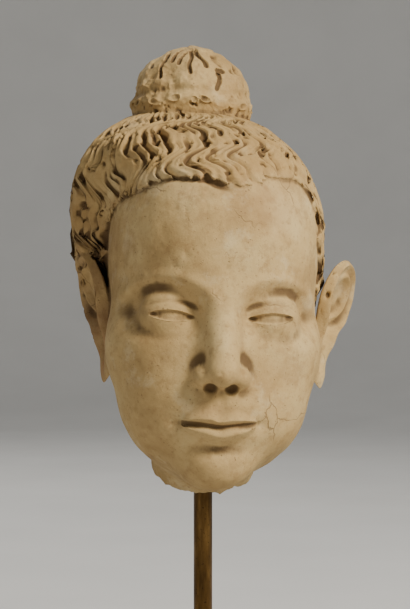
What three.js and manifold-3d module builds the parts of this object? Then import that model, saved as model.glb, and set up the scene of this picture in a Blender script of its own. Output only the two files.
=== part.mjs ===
// A stucco head of the Buddha, broken off at the neck and held up on a brass rod that stands in a wooden block.
// Millimetres, +Z up, the face looks along -Y. The origin is the middle of the block's underside.

import * as THREE from "three";
import { mergeVertices } from "three/addons/utils/BufferGeometryUtils.js";
import Module from "manifold-3d";

const wasm = await Module();
wasm.setup();

// Driving dimensions, in millimetres and degrees
const HEAD_HEIGHT = 290; // from the broken neck to the top of the hair knot
const HEAD_ROLL = 2; // lean of the head towards its own left, on an upright rod
const ROD_DIAMETER = 12;
const ROD_SHOWING = 110; // bare rod between the block and the break
const ROD_IN_HEAD = 130;
const ROD_IN_BLOCK = 26;
const ROD_GAP = 0.3; // clearance round the rod in both of its sockets
const BLOCK_WIDTH = 170;
const BLOCK_HEIGHT = 36;
const BLOCK_EDGE = 2; // width of the chamfer along the block's edges

// The head is carved in shares of the face's height, chin to hairline: the chin is at 0 and the hairline at 1.
const BREAK_LEVEL = -0.05;
const KNOT_TOP = 1.5;
const FACE_HEIGHT = HEAD_HEIGHT / (KNOT_TOP - BREAK_LEVEL);
const BREAK_Z = BLOCK_HEIGHT + ROD_SHOWING;

// How finely the bare head, the knot and each ear are faceted: the first ball, the triangles to aim for, and the
// rounds of splitting that lead there
const HEAD_FACETS = { detail: 10, budget: 3500, rounds: 4 };
const KNOT_FACETS = { detail: 4, budget: 700, rounds: 2 };
const EAR_FACETS = { detail: 3, budget: 480, rounds: 6 };

const { abs, atan2, cos, exp, hypot, max, min, PI, sin, sqrt } = Math;

const clamp = (value) => min(1, max(0, value));

// Rises smoothly from 0 at a to 1 at b.
function ramp(a, b, value) {
  const t = clamp((value - a) / (b - a));
  return t * t * (3 - 2 * t);
}

// A rounded bump of height 1 at 0, about one width to each side.
const bump = (value, width) => exp(-((value / width) ** 2));

// Two forms pressed together with a soft fillet, and one form scooped out of another.
const fuse = (a, b, fillet) => min(a, b) - max(fillet - abs(a - b), 0) ** 2 / (4 * fillet);
const scoop = (a, b, fillet) => -fuse(-a, b, fillet);

// Distance to a rounded lump along the ray from its centre, for half sizes a, b and c.
function lump(x, y, z, a, b, c) {
  const level = sqrt((x / a) ** 2 + (y / b) ** 2 + (z / c) ** 2);
  return level < 1e-6 ? -min(a, b, c) : sqrt(x * x + y * y + z * z) * (1 - 1 / level);
}

// The same with squarer shoulders.
function squareLump(x, y, z, a, b, c) {
  const POWER = 2.2;
  const level = (abs(x / a) ** POWER + abs(y / b) ** POWER + abs(z / c) ** POWER) ** (1 / POWER);
  return level < 1e-6 ? -min(a, b, c) : sqrt(x * x + y * y + z * z) * (1 - 1 / level);
}

// Distance to a tapering bar with round ends, upright across x, from point a to point b.
function bar(x, y, z, a, b) {
  const dy = b.y - a.y;
  const dz = b.z - a.z;
  const t = clamp(((y - a.y) * dy + (z - a.z) * dz) / (dy * dy + dz * dz));
  const offY = y - a.y - t * dy;
  const offZ = z - a.z - t * dz;
  return sqrt(x * x + offY * offY + offZ * offZ) - (a.radius + t * (b.radius - a.radius));
}

// The neck stump leans back a little from under the jaw.
const NECK = { top: { y: 0.04, z: 0.3, radius: 0.185 }, foot: { y: 0.1, z: -0.4, radius: 0.185 } };

// The bare head: skull, full cheeks, muzzle, chin, jaw and the stump of the neck.
function bareHead(x, y, z) {
  const side = abs(x);
  let d = squareLump(x, y - 0.03, z - 0.8, 0.37, 0.535, 0.43);
  d = fuse(d, lump(x, y + 0.13, z - 0.415, 0.33, 0.365, 0.42), 0.12);
  d = fuse(d, lump(side - 0.19, y + 0.2, z - 0.46, 0.16, 0.21, 0.15), 0.1);
  d = fuse(d, lump(side - 0.135, y + 0.26, z - 0.26, 0.15, 0.17, 0.15), 0.1);
  d = fuse(d, lump(x, y + 0.372, z - 0.25, 0.155, 0.135, 0.13), 0.1);
  d = fuse(d, lump(x, y + 0.36, z - 0.085, 0.11, 0.11, 0.088), 0.1);
  return fuse(d, bar(x, y, z, NECK.top, NECK.foot), 0.07);
}

// Each brow arches from the side of the nose to the temple. The eye is a ball under two lids in the hollow below it.
const BROW = { x: 0.178, z: 0.52, width: 0.172, height: 0.155, hollow: 0.034, crest: 0.007 };
const EYE = { x: 0.16, y: -0.358, z: 0.56, ball: 0.094, lid: 0.011, halfWidth: 0.08, open: 0.024, sag: 0.018 };

function eyes(d, x, y, z) {
  const side = abs(x);
  const underBrow = BROW.height * (1 - hypot((side - BROW.x) / BROW.width, (z - BROW.z) / BROW.height));
  let carved = d + BROW.hollow * ramp(-0.012, 0.045, underBrow) * ramp(0.46, 0.58, z);
  carved += 0.014 * bump(side - 0.082, 0.03) * bump(z - 0.575, 0.04);
  carved -= BROW.crest * bump(underBrow + 0.012, 0.018) * ramp(0.57, 0.64, z) * ramp(0.37, 0.3, side);
  const rise = z - EYE.z;
  carved = fuse(carved, hypot(side - EYE.x, y - EYE.y, rise) - EYE.ball - EYE.lid, 0.02);
  const across = (side - EYE.x) / EYE.halfWidth;
  const taper = max(0, 1 - across * across);
  const above = rise - EYE.open * taper ** 0.8 - 0.004 * across;
  const below = -rise - EYE.sag * taper + 0.004 * across;
  carved += EYE.lid * ramp(0, 0.007, -max(above, below));
  return carved + 0.006 * bump(above - 0.03, 0.007) * ramp(1.25, 0.85, abs(across));
}

const NOSE = { root: { y: -0.433, z: 0.64, radius: 0.045 }, tip: { y: -0.556, z: 0.395, radius: 0.052 } };

function nose(d, x, y, z) {
  const side = abs(x);
  let made = fuse(d, bar(x, y, z, NOSE.root, NOSE.tip), 0.075);
  made = fuse(made, lump(side - 0.06, y + 0.5, z - 0.372, 0.036, 0.056, 0.038), 0.024);
  return scoop(made, lump(side - 0.034, y + 0.53, z - 0.334, 0.019, 0.032, 0.016), 0.01);
}

// The lips swell from the line where they part, which dips in the middle.
const MOUTH = { z: 0.222, halfWidth: 0.128, upper: 0.05, lower: 0.062, swell: 0.024 };

function mouth(d, x, z) {
  const s = abs(x) / MOUTH.halfWidth;
  const taper = max(0, 1 - s * s);
  const parting = MOUTH.z + 0.003 * s * s - 0.006 * bump(s, 0.25);
  const upper = (z - parting) / (MOUTH.upper * taper ** 0.5 * (1 - 0.22 * bump(s, 0.17)) + 1e-6);
  const lower = (parting - z) / (MOUTH.lower * taper ** 0.5 + 1e-6);
  let out = 0;
  if (upper > 0 && upper < 1) out = MOUTH.swell * taper ** 0.5 * (1 - upper) ** 0.8 * ramp(0, 0.22, upper);
  if (lower > 0 && lower < 1) out = MOUTH.swell * taper ** 0.6 * sin(PI * lower ** 0.7);
  out -= 0.009 * bump(z - parting, 0.007) * ramp(1.1, 0.95, s);
  out -= 0.011 * bump(abs(x) - 0.14, 0.022) * bump(z - 0.222, 0.024);
  out -= 0.012 * bump(z - 0.142, 0.026) * bump(x, 0.09);
  out -= 0.006 * bump(x, 0.018) * ramp(0.262, 0.285, z) * ramp(0.345, 0.32, z);
  return d - out;
}

function face(x, y, z) {
  if (y > -0.1) return bareHead(x, y, z);
  return mouth(nose(eyes(bareHead(x, y, z), x, y, z), x, y, z), x, z);
}

// The neck is broken off in an uneven face that climbs towards the nape.
function breakLevel(x, y) {
  const rough = sin(17 * x + 5 * y) + sin(23 * y - 9 * x + 1) + 0.6 * sin(41 * x + 37 * y);
  return BREAK_LEVEL + 0.014 + 0.22 * ramp(-0.15, 0.4, y) + 0.0055 * rough;
}

function head(x, y, z) {
  return scoop(face(x, y, z), z - breakLevel(x, y), 0.02);
}

// Rays leave a short upright line inside the head, and its surface is where each ray last comes out. They are drawn
// together towards the face, so that it gets more of them than the skull under the hair.
const RAYS = { y: 0.03, z: 0.7, lift: 0.28, reach: 1.15, steps: 48, halvings: 13, forward: 0.5, down: 0.12 };

function headPoint([ballX, ballY, ballZ]) {
  const size = hypot(ballX, ballY - RAYS.forward, ballZ - RAYS.down);
  const dx = ballX / size;
  const dy = (ballY - RAYS.forward) / size;
  const dz = (ballZ - RAYS.down) / size;
  const z = RAYS.z + RAYS.lift * max(dz, 0);
  const level = (t) => head(t * dx, RAYS.y + t * dy, z + t * dz);
  const step = RAYS.reach / RAYS.steps;
  let inside = RAYS.reach - step;
  while (inside > step && level(inside) > 0) inside -= step;
  let outside = inside + step;
  for (let i = 0; i < RAYS.halvings; i += 1) {
    const middle = (inside + outside) / 2;
    if (level(middle) > 0) outside = middle;
    else inside = middle;
  }
  return [inside * dx, RAYS.y + inside * dy, z + inside * dz];
}

// An ear in shares of its own height: u runs back, v up and w outwards. It has a rolled rim, a hollow with a fold
// behind it, and a long lobe that is cut off square.
const EAR_EDGE = { spread: 0.28, back: -0.02, thickness: 0.075 };

function earOutline(u, v) {
  const upper = lump(u, v - 0.21, 0, 0.25, 0.29, 1);
  const lobe = bar(0, u, v, { y: -0.05, z: 0.1, radius: 0.13 }, { y: -0.045, z: -0.42, radius: 0.105 });
  return scoop(fuse(upper, lobe, 0.1), v + 0.49 + 0.25 * u, 0.02);
}

function earRelief(u, v) {
  const inset = -earOutline(u, v);
  const rim = bump(inset - 0.035, 0.04) * ramp(-0.32, -0.05, v + 0.3 * u) * ramp(-0.5, -0.1, u + 0.9 * v);
  const fold = bump(inset - 0.135, 0.03) * ramp(-0.1, 0.03, u) * ramp(-0.14, 0.02, v);
  const shell = bump(hypot((u + 0.03) / 0.1, (v - 0.1) / 0.17), 0.95);
  const slit = bump(hypot((u + 0.045) / 0.03, (v + 0.27) / 0.12), 0.95);
  return 0.085 * rim + 0.045 * fold - 0.075 * shell - 0.035 * slit;
}

// Lays a ball's surface over the ear like a lens, outer half over inner half.
function earPoint([a, b, c]) {
  const flat = hypot(a, b);
  const start = EAR_EDGE.spread * (flat > 0 ? b / flat : 0);
  let length = 0;
  if (flat > 1e-6) {
    let inside = 0;
    let outside = 0.6;
    for (let i = 0; i < RAYS.halvings; i += 1) {
      length = (inside + outside) / 2;
      if (earOutline(EAR_EDGE.back + (length * a) / flat, start + (length * b) / flat) > 0) outside = length;
      else inside = length;
    }
  }
  const u = EAR_EDGE.back + length * a;
  const v = start * flat + length * b;
  const edge = sqrt(max(0, 1 - flat ** 6));
  const bend = 0.3 * max(0, v + 0.12) ** 1.4;
  const level = c > 0 ? EAR_EDGE.thickness / 2 + earRelief(u, v) * edge : -EAR_EDGE.thickness / 2;
  return [u, v, bend + level * edge];
}

// How fine the carving is: most on the features.
function fineness([x, y, z]) {
  const eye = bump(abs(x) - 0.165, 0.11) * bump(z - EYE.z, 0.07);
  const tip = bump(x, 0.1) * bump(z - 0.37, 0.05);
  const lips = bump(x, 0.15) * bump(z - MOUTH.z, 0.06);
  return ramp(-0.3, -0.38, y) * max(eye, tip, lips);
}

// Facets a form: starts from an even ball of triangles and splits the edges that lie furthest off the surface.
// A share of an edge's length counts as well, a larger one where the carving is fine.
const LENGTH_SHARE = { plain: 0.025, fine: 0.14 };

function facet(place, { detail, budget, rounds }) {
  const ball = new THREE.IcosahedronGeometry(1, detail);
  ball.deleteAttribute("normal");
  ball.deleteAttribute("uv");
  const start = mergeVertices(ball, 1e-5);
  const directions = [];
  const points = [];
  const add = (direction) => {
    const length = hypot(...direction);
    const unit = direction.map((value) => value / length);
    directions.push(unit);
    points.push(place(unit));
    return points.length - 1;
  };
  for (let i = 0; i < start.attributes.position.count; i += 1) {
    add([0, 1, 2].map((axis) => start.attributes.position.array[3 * i + axis]));
  }
  const seen = new Map();
  const edgeOf = (a, b) => {
    const key = min(a, b) * 1e6 + max(a, b);
    if (!seen.has(key)) {
      const middle = add(directions[a].map((value, i) => value + directions[b][i]));
      const error = apart(points[a].map((value, i) => (value + points[b][i]) / 2), points[middle]);
      const share = LENGTH_SHARE.plain + LENGTH_SHARE.fine * fineness(points[middle]);
      seen.set(key, { middle, weight: error + share * apart(points[a], points[b]) });
    }
    return seen.get(key);
  };
  let faces = [];
  for (let i = 0; i < start.index.count; i += 3) faces.push([...start.index.array.slice(i, i + 3)]);
  for (let round = 0; round < rounds && faces.length < budget; round += 1) {
    faces = refine(faces, edgeOf, points, (budget - faces.length) / (rounds - round));
  }
  return solidOf(points, faces);
}

const apart = (p, q) => hypot(p[0] - q[0], p[1] - q[1], p[2] - q[2]);

// Splits about as many edges as give the extra faces, the worst ones first.
function refine(faces, edgeOf, points, extra) {
  const sides = faces.map(([a, b, c]) => [edgeOf(a, b), edgeOf(b, c), edgeOf(c, a)]);
  const weights = sides.flat().map((edge) => edge.weight).sort((a, b) => b - a);
  const limit = weights[Math.floor(extra)];
  return faces.flatMap(([a, b, c], i) => {
    const [ab, bc, ca] = sides[i].map((edge) => (edge.weight > limit ? edge.middle : null));
    return split(a, b, c, ab, bc, ca, points);
  });
}

// Cuts a triangle at the middles given for its sides ab, bc and ca.
function split(a, b, c, ab, bc, ca, points) {
  const count = (ab !== null) + (bc !== null) + (ca !== null);
  if (count === 0) return [[a, b, c]];
  if (count === 3) return [[a, ab, ca], [ab, b, bc], [ca, bc, c], [ab, bc, ca]];
  // Turn the triangle until the first side is cut and, when two are, the last side is not.
  if (ab === null || (count === 2 && ca !== null)) return split(b, c, a, bc, ca, ab, points);
  if (count === 1) return [[a, ab, c], [ab, b, c]];
  return apart(points[a], points[bc]) < apart(points[ab], points[c])
    ? [[ab, b, bc], [a, ab, bc], [a, bc, c]]
    : [[ab, b, bc], [a, ab, c], [ab, bc, c]];
}

function solidOf(points, faces) {
  const used = new Map();
  const triVerts = faces.flat().map((index) => {
    if (!used.has(index)) used.set(index, used.size);
    return used.get(index);
  });
  const vertProperties = [...used.keys()].flatMap((index) => points[index]);
  return closedSolid(vertProperties, triVerts);
}

function closedSolid(vertProperties, triVerts) {
  return new wasm.Manifold(
    new wasm.Mesh({
      numProp: 3,
      vertProperties: Float32Array.from(vertProperties),
      triVerts: Uint32Array.from(triVerts),
    }),
  );
}

// The hair is a thick cap that stops at a step along the hairline, with a small peak over the forehead. It is fuller
// above the temple on the -X side. The knot stands on it, off the middle, tied round its foot.
const CAP = { x: -0.042, y: 0.04, z: 0.81, width: 0.437, depth: 0.562, height: 0.455 };
const SHOULDER = { x: -0.205, y: 0.02, z: 0.975, width: 0.28, depth: 0.4, height: 0.27, fillet: 0.08 };
const KNOT = { x: -0.085, y: 0.06, z: 1.3, width: 0.216, depth: 0.228, height: 0.2, barrel: 0.35 };
const TIE = { z: 1.283, width: 0.026, thickness: 0.02, loops: 24 };

// It runs further back to the temple on the -X side.
function hairline(degrees) {
  const turn = degrees < 0 ? abs(degrees + 14) : degrees + 2;
  return 1.02 - 0.042 * bump(degrees - 2, 9) - 0.5 * ramp(44, 86, turn) - 0.4 * ramp(88, 108, turn);
}

// Wavy locks run down from the knot on all sides, measured by their turn about the knot's upright axis and by the
// angle down from it. Each lock is a flat ridge between two narrow grooves, and the waves are longer behind.
const LOCKS = { count: 44, groove: 0.02, shoulder: 0.2, sway: 0.44, wave: 0.26, slower: 0.2, rows: 15 };
const SPACING = (2 * PI) / LOCKS.count;
const ROOTS = { z: 0.62, down: 0.26 }; // the middle of the cap, and where the locks come out from under the knot
const HAIR_EDGE = { step: 0.024, roll: 0.13, under: 0.22 }; // its thickness, its curve and how far it turns in
const NOTCH = 0.016; // how much higher the hair ends at a groove than at the tip of a lock
const NAPE = 0.37; // the hair's lowest level

function lockTurn(place, down) {
  let turn = place * SPACING;
  for (let i = 0; i < 12; i += 1) {
    const drift = 1.1 * sin(2 * turn + 0.6) + 0.3 * sin(3 * turn + 2 * down) + 0.7 * sin(5 * down - turn);
    const waves = down / (LOCKS.wave * (1 + LOCKS.slower - LOCKS.slower * cos(turn)));
    turn = (turn + SPACING * (place - LOCKS.sway * sin(2 * PI * waves + drift))) / 2;
  }
  return turn;
}

// The grooves are deepest at the temple on the -X side and worn over the forehead. Near the knot and behind the ears
// every second one fades out.
function grooveDepth(place, down, x, y, z) {
  const wear = 0.8 + 0.2 * sin(9 * x + 4) * sin(11 * z - 3 * y) + 0.35 * ramp(-0.25, -0.4, x) * ramp(0.2, -0.1, y);
  const odd = Math.round(place) % 2 === 1;
  const kept = odd ? ramp(0.5, 0.7, down) * ramp(0.3, 0.1, y) : 1;
  return LOCKS.groove * wear * kept * ramp(0.24, 0.4, down);
}

function capForm(x, y, z) {
  const cap = squareLump(x - CAP.x, y - CAP.y, z - CAP.z, CAP.width, CAP.depth, CAP.height);
  const { width, depth, height, fillet } = SHOULDER;
  return fuse(cap, lump(x - SHOULDER.x, y - SHOULDER.y, z - SHOULDER.z, width, depth, height), fillet);
}

// A point on the line that leaves the middle of the cap at this turn and this angle down.
function onLine(turn, down, length) {
  return [
    KNOT.x + length * sin(turn) * sin(down),
    KNOT.y - length * cos(turn) * sin(down),
    ROOTS.z + length * cos(down),
  ];
}

// How far along that line a form ends.
function lengthTo(form, turn, down) {
  let inside = 0;
  let outside = 1.2;
  for (let i = 0; i < RAYS.halvings; i += 1) {
    const length = (inside + outside) / 2;
    if (form(...onLine(turn, down, length)) > 0) outside = length;
    else inside = length;
  }
  return inside;
}

// How far a point of the cap is from the hairline, measured across it. A degree of turn is about this far round.
const DEGREE_ARC = 0.0079;

function edgeLevel(degrees) {
  return max(hairline(degrees), NAPE);
}

function edgeDistance([x, y, z]) {
  const degrees = atan2(x, -y) * (180 / PI);
  const slope = (edgeLevel(degrees + 1) - edgeLevel(degrees - 1)) / (2 * DEGREE_ARC);
  return (z - edgeLevel(degrees)) / hypot(1, slope);
}

// The cap rolls in towards the skull over the last stretch before the hairline, and ends as a thin step.
function capLength(turn, down) {
  const cap = lengthTo(capForm, turn, down);
  const step = lengthTo(bareHead, turn, down) + HAIR_EDGE.step;
  return cap + ramp(HAIR_EDGE.roll, 0, edgeDistance(onLine(turn, down, cap))) * min(0, step - cap);
}

// The angle down at which the middle of a lock's sway reaches the hairline.
function lockEnd(place) {
  let above = ROOTS.down;
  let below = 2.6;
  for (let i = 0; i < RAYS.halvings; i += 1) {
    const down = (above + below) / 2;
    const turn = place * SPACING;
    const [x, y, z] = onLine(turn, down, lengthTo(capForm, turn, down));
    const notch = place === Math.floor(place) ? NOTCH : 0;
    if (z > edgeLevel(atan2(x, -y) * (180 / PI)) + notch) above = down;
    else below = down;
  }
  return above;
}

function hairSolid() {
  // Each lock has three lines: the bottom of its groove and the two shoulders of its ridge.
  const columns = [];
  for (let lock = 0; lock < LOCKS.count; lock += 1) {
    for (const share of [0, LOCKS.shoulder, 1 - LOCKS.shoulder]) columns.push(lock + share);
  }
  const crown = [KNOT.x, KNOT.y, KNOT.z];
  const middle = [0, RAYS.y, CAP.z];
  const points = [crown, middle];
  for (const place of columns) {
    const end = lockEnd(place);
    for (let row = 0; row <= LOCKS.rows; row += 1) {
      const down = ROOTS.down + ((end - ROOTS.down) * row) / LOCKS.rows;
      const turn = lockTurn(place, down);
      const length = capLength(turn, down);
      const [x, y, z] = onLine(turn, down, length);
      const sunk = place === Math.floor(place) ? grooveDepth(place, down, x, y, z) : 0;
      const uneven = 0.004 * sin(13 * x + 7 * z) * sin(11 * y + 5 * z + 1);
      points.push(onLine(turn, down, length - sunk - uneven));
    }
    const rim = points[points.length - 1];
    points.push(rim.map((value, i) => value + HAIR_EDGE.under * (middle[i] - value)));
  }
  const high = LOCKS.rows + 2;
  const at = (column, row) => 2 + (column % columns.length) * high + row;
  const faces = [];
  for (let i = 0; i < columns.length; i += 1) {
    faces.push([0, at(i, 0), at(i + 1, 0)]);
    for (let row = 0; row < high - 1; row += 1) {
      faces.push([at(i, row), at(i, row + 1), at(i + 1, row + 1)]);
      faces.push([at(i, row), at(i + 1, row + 1), at(i + 1, row)]);
    }
    faces.push([1, at(i + 1, high - 1), at(i, high - 1)]);
  }
  return solidOf(points, faces);
}

// The knot is a dome over a ring of small loops. Below its middle it goes down nearly straight into the hair.
function knotPoint([dx, dy, dz]) {
  const flat = hypot(dx, dy);
  const barrel = dz < 0 && flat > 0 ? flat ** KNOT.barrel / flat : 1;
  const x = KNOT.width * dx * barrel;
  const y = KNOT.depth * dy * barrel;
  const z = KNOT.z + KNOT.height * dz;
  const loop = abs(sin((TIE.loops / 2) * atan2(x, -y)));
  const swell = TIE.thickness * bump(z - TIE.z, TIE.width) * (0.55 + 0.45 * loop);
  const out = 1 + swell / KNOT.width - 0.02 * sin(5 * dx + 3 * dz) * sin(4 * dy + 1);
  return [KNOT.x + out * x, KNOT.y + out * y, z];
}

// A three.js geometry as a closed solid, and a closed solid as a three.js geometry.
function solidFrom(geometry) {
  const bare = geometry.clone();
  bare.deleteAttribute("normal");
  bare.deleteAttribute("uv");
  const merged = mergeVertices(bare, 1e-4);
  return closedSolid(merged.attributes.position.array, merged.index.array);
}

function geometryFrom(solid) {
  const { vertProperties, triVerts } = solid.getMesh();
  const geometry = new THREE.BufferGeometry();
  geometry.setAttribute("position", new THREE.BufferAttribute(vertProperties, 3));
  geometry.setIndex(new THREE.BufferAttribute(triVerts, 1));
  geometry.computeVertexNormals();
  return geometry;
}

// Each ear stands off the head at its own angle: the one on the +X side flares, the other lies close.
const EAR_HEIGHT = 0.46;
const EARS = [
  { side: 1, x: 0.4, y: 0.0, z: 0.548, flare: 31, lean: 4 },
  { side: -1, x: 0.36, y: 0.02, z: 0.545, flare: 14, lean: 2 },
];
const EAR_RAKE = 8;
const BACK = new THREE.Vector3(0, 1, 0);
const UP = new THREE.Vector3(0, 0, 1);
const OUT = new THREE.Vector3(1, 0, 0);

function earSolid({ side, x, y, z, flare, lean }) {
  const turn = THREE.MathUtils.degToRad;
  const place = new THREE.Matrix4()
    .makeTranslation(x, y, z)
    .multiply(new THREE.Matrix4().makeRotationY(turn(lean)))
    .multiply(new THREE.Matrix4().makeRotationX(-turn(EAR_RAKE)))
    .multiply(new THREE.Matrix4().makeRotationZ(-turn(flare)))
    .multiply(new THREE.Matrix4().makeBasis(BACK, UP, OUT))
    .scale(new THREE.Vector3(EAR_HEIGHT, EAR_HEIGHT, EAR_HEIGHT));
  if (side < 0) place.premultiply(new THREE.Matrix4().makeScale(-1, 1, 1));
  return facet(earPoint, EAR_FACETS).transform(place.elements);
}

// A plain round bar on the Z axis, from one level up to another.
function roundBar(diameter, from, to) {
  const geometry = new THREE.CylinderGeometry(diameter / 2, diameter / 2, to - from, 32);
  return geometry.rotateX(PI / 2).translate(0, 0, (from + to) / 2);
}

function socket(from, to) {
  return solidFrom(roundBar(ROD_DIAMETER + 2 * ROD_GAP, from, to));
}

// The outermost body alone, so that no small pocket stays sealed in between the hair, an ear and the skull.
function filled(solid) {
  return solid.decompose().reduce((largest, body) => (body.volume() > largest.volume() ? body : largest));
}

function headGeometry() {
  const place = new THREE.Matrix4()
    .makeTranslation(0, 0, BREAK_Z)
    .multiply(new THREE.Matrix4().makeRotationY(THREE.MathUtils.degToRad(HEAD_ROLL)))
    .scale(new THREE.Vector3(FACE_HEIGHT, FACE_HEIGHT, FACE_HEIGHT))
    .multiply(new THREE.Matrix4().makeTranslation(0, 0, -BREAK_LEVEL));
  const bare = facet(headPoint, HEAD_FACETS).add(hairSolid()).add(facet(knotPoint, KNOT_FACETS));
  const carved = filled(EARS.reduce((solid, one) => solid.add(earSolid(one)), bare));
  const below = BREAK_Z - ROD_SHOWING / 2;
  const drilled = carved.transform(place.elements).subtract(socket(below, BREAK_Z + ROD_IN_HEAD + ROD_GAP));
  return geometryFrom(drilled);
}

function blockGeometry() {
  const half = BLOCK_WIDTH / 2;
  const outline = new THREE.Shape([
    new THREE.Vector2(-half, -half),
    new THREE.Vector2(half, -half),
    new THREE.Vector2(half, half),
    new THREE.Vector2(-half, half),
  ]);
  const block = new THREE.ExtrudeGeometry(outline, {
    depth: BLOCK_HEIGHT - 2 * BLOCK_EDGE,
    bevelThickness: BLOCK_EDGE,
    bevelSize: BLOCK_EDGE,
    bevelOffset: -BLOCK_EDGE,
    bevelSegments: 1,
  }).translate(0, 0, BLOCK_EDGE);
  const above = BLOCK_HEIGHT + ROD_SHOWING / 2;
  return geometryFrom(solidFrom(block).subtract(socket(BLOCK_HEIGHT - ROD_IN_BLOCK - ROD_GAP, above)));
}

const stucco = new THREE.MeshStandardMaterial({ color: 0xb9a27c, roughness: 0.92, metalness: 0 });
const brass = new THREE.MeshStandardMaterial({ color: 0x8f6a35, roughness: 0.38, metalness: 1 });
const stainedWood = new THREE.MeshStandardMaterial({ color: 0x2b2320, roughness: 0.5, metalness: 0 });

function piece(name, geometry, material) {
  const mesh = new THREE.Mesh(geometry, material);
  mesh.name = name;
  return mesh;
}

const part = new THREE.Group();
part.add(piece("head", headGeometry(), stucco));
part.add(piece("rod", roundBar(ROD_DIAMETER, BLOCK_HEIGHT - ROD_IN_BLOCK, BREAK_Z + ROD_IN_HEAD), brass));
part.add(piece("block", blockGeometry(), stainedWood));

export default part;
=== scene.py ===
"""A stucco head of the Buddha on its brass rod and stained block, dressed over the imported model. Metres, +Z up."""

import math

import bmesh
import bpy
import numpy as np
from mathutils import Matrix, Vector, noise


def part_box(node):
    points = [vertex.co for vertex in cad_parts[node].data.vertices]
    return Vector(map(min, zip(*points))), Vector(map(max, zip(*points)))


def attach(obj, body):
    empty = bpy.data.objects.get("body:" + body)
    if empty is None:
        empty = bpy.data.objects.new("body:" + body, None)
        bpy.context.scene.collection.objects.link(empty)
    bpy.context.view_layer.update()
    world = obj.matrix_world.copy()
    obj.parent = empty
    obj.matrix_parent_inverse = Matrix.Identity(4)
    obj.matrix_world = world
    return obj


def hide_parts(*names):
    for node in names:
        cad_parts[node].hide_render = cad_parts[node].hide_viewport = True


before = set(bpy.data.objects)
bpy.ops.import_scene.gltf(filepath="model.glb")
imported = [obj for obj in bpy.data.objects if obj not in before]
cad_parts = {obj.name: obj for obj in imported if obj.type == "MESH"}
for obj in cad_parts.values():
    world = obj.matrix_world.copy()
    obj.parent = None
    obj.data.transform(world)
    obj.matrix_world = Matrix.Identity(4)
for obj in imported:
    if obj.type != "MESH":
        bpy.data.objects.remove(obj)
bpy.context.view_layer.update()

# Block.
# A square block of close-grained hardwood, planed, stained nearly black and waxed. Its edges are eased with
# sandpaper, and a blind hole is bored from the top to take the rod.
block_low, block_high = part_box("block")
rod_low, rod_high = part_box("rod")
BLOCK_EASED_EDGE = 0.002
SOCKET_RADIUS = 0.0063
SOCKET_RIM = 0.0005
SOCKET_GAP = 0.0003
PAST_THE_FACE = 0.01  # how far a cutter reaches past the face that it cuts


def made_piece(name, bm):
    mesh = bpy.data.meshes.new(name)
    bm.to_mesh(mesh)
    bm.free()
    piece = bpy.data.objects.new(name, mesh)
    bpy.context.scene.collection.objects.link(piece)
    return piece


def worked(piece, other, operation):
    """Joins another closed piece to this one, or cuts it out, and leaves one closed mesh."""
    step = piece.modifiers.new("work", "BOOLEAN")
    step.operation = operation
    step.solver = "MANIFOLD"
    step.object = other
    bpy.context.view_layer.update()
    seen = piece.evaluated_get(bpy.context.evaluated_depsgraph_get())
    mesh = bpy.data.meshes.new_from_object(seen)
    if len(mesh.polygons) == len(piece.data.polygons):
        raise RuntimeError(f"{other.name} did not change {piece.name}")
    piece.modifiers.clear()
    piece.data = mesh
    bpy.data.objects.remove(other)
    return piece


def rod_socket(low, high):
    bm = bmesh.new()
    middle = Matrix.Translation((0, 0, (low + high) / 2))
    bmesh.ops.create_cone(
        bm, cap_ends=True, segments=96, radius1=SOCKET_RADIUS, radius2=SOCKET_RADIUS, depth=high - low, matrix=middle
    )
    return made_piece("socket", bm)


bm = bmesh.new()
block_size = block_high - block_low
bmesh.ops.create_cube(
    bm, size=1.0, matrix=Matrix.Translation((block_low + block_high) / 2) @ Matrix.Diagonal((*block_size, 1))
)
bmesh.ops.bevel(
    bm, geom=bm.edges[:], offset=BLOCK_EASED_EDGE, segments=5, profile=0.5, affect="EDGES", material=-1
)
block = made_piece("stained_block", bm)
worked(block, rod_socket(rod_low.z - SOCKET_GAP, block_high.z + PAST_THE_FACE), "DIFFERENCE")

bm = bmesh.new()
bm.from_mesh(block.data)
rim = [
    edge
    for edge in bm.edges
    if all(abs(v.co.z - block_high.z) < 1e-5 and v.co.xy.length < 1.1 * SOCKET_RADIUS for v in edge.verts)
]
bmesh.ops.bevel(bm, geom=rim, offset=SOCKET_RIM, segments=3, profile=0.5, affect="EDGES", material=-1)
for face in bm.faces:
    face.smooth = face.calc_area() < 2e-4
bm.to_mesh(block.data)
bm.free()


def new_finish(name):
    material = bpy.data.materials.new(name)
    material.use_nodes = True
    return material


def add(material, kind, values, **settings):
    """Adds a node. Each value is a number or colour for that socket, or another node's output to link to it."""
    made = material.node_tree.nodes.new("ShaderNode" + kind)
    for key, value in settings.items():
        setattr(made, key, value)
    for key, value in values.items():
        if isinstance(value, bpy.types.NodeSocket):
            material.node_tree.links.new(value, made.inputs[key])
        else:
            made.inputs[key].default_value = value
    return made


def tones(material, factor, *stops):
    """A colour that runs through these stops, each a place from 0 to 1 and a colour."""
    made = add(material, "ValToRGB", {"Fac": factor})
    while len(made.color_ramp.elements) < len(stops):
        made.color_ramp.elements.new(0.5)
    for element, (place, colour) in zip(made.color_ramp.elements, stops):
        element.position = place
        element.color = (*colour, 1)
    return made.outputs["Color"]


def share(material, value, low, high, to_low=0.0, to_high=1.0):
    """Turns a range of values into a smooth share."""
    values = {"Value": value, "From Min": low, "From Max": high, "To Min": to_low, "To Max": to_high}
    return add(material, "MapRange", values, interpolation_type="SMOOTHSTEP").outputs["Result"]


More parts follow.
